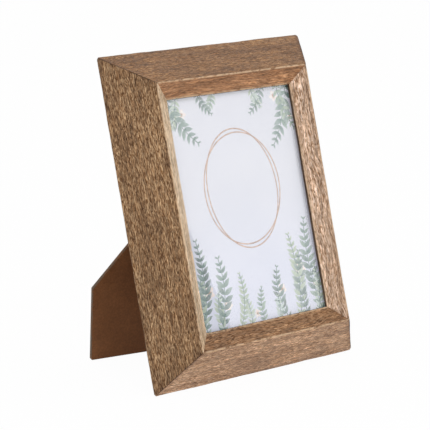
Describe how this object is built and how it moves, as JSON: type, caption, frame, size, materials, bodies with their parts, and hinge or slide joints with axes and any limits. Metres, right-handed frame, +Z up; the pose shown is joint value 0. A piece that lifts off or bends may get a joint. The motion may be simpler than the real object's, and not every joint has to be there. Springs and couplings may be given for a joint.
{
  "type": "easel back photo frame",
  "caption": "Free-standing wooden photo frame with a deep reverse-bevel moulding, glass front and a folding easel strut that stands it upright or sideways.",
  "frame": {"origin": "middle of the footprint on the table, between the front ridge and the strut's foot", "axes": "+Z up, +X to the right as the picture is looked at, +Y towards the back; the frame leans back with the strut open"},
  "size_m": [0.1998, 0.1362, 0.2417],
  "materials": {
    "mango_wood": "open-pored mango wood, waxed, mid brown with fine dark flecks",
    "nail_steel": "plain steel strip",
    "clear_glass": "clear float glass with polished edges",
    "print_paper": null,
    "grey_card": "grey card",
    "pine": "sawn pine strip",
    "button_steel": "zinc-plated pressed steel",
    "screw_steel": "zinc-plated steel screws",
    "hinge_steel": "zinc-plated sheet steel",
    "pin_steel": "drawn steel wire with upset ends",
    "rivet_steel": "zinc-plated steel rivets",
    "brown_hardboard": "hardboard with a smooth chocolate-brown face",
    "strut_hardboard": "hardboard with a smooth chocolate-brown face"
  },
  "bodies": {
    "frame": {"bottom_rail": "mango_wood", "right_stile": "mango_wood", "top_rail": "mango_wood", "left_stile": "mango_wood", "corner_nails": "nail_steel", "glass_pane": "clear_glass", "photo_print": "print_paper", "backing_card": "grey_card", "spacer_bottom": "pine", "spacer_top": "pine", "spacer_left": "pine", "spacer_right": "pine", "turn_button_screws": "screw_steel", "hinge_board_leaf": "hinge_steel", "hinge_pin": "pin_steel", "back_board": "brown_hardboard", "hinge_board_rivets": "rivet_steel"},
    "strut": {"easel_strut": "strut_hardboard", "hinge_strut_leaf": "hinge_steel", "hinge_strut_rivets": "rivet_steel"},
    "button_bottom": {"turn_button_bottom": "button_steel"},
    "button_right_lower": {"turn_button_right_lower": "button_steel"},
    "button_right_upper": {"turn_button_right_upper": "button_steel"},
    "button_left_upper": {"turn_button_left_upper": "button_steel"},
    "button_left_lower": {"turn_button_left_lower": "button_steel"}
  },
  "joints": [
    {"name": "strut_fold", "type": "hinge", "parent": "frame", "child": "strut", "pos_m": [0, 0.01002, 0.1937], "axis": [-0.9415, 0.0858, 0.326], "range_deg": [0, 29.3]},
    {"name": "button_bottom_turn", "type": "hinge", "parent": "frame", "child": "button_bottom", "pos_m": [0.024, -0.03874, 0.01735], "axis": [0, 0.967, -0.2546], "continuous": true},
    {"name": "button_right_lower_turn", "type": "hinge", "parent": "frame", "child": "button_right_lower", "pos_m": [0.0818, -0.02779, 0.05893], "axis": [0, 0.967, -0.2546], "continuous": true},
    {"name": "button_right_upper_turn", "type": "hinge", "parent": "frame", "child": "button_right_upper", "pos_m": [0.0818, 0.00623, 0.18813], "axis": [0, 0.967, -0.2546], "continuous": true},
    {"name": "button_left_upper_turn", "type": "hinge", "parent": "frame", "child": "button_left_upper", "pos_m": [-0.0818, 0.00623, 0.18813], "axis": [0, 0.967, -0.2546], "continuous": true},
    {"name": "button_left_lower_turn", "type": "hinge", "parent": "frame", "child": "button_left_lower", "pos_m": [-0.0818, -0.01175, 0.11985], "axis": [0, 0.967, -0.2546], "continuous": true}
  ]
}
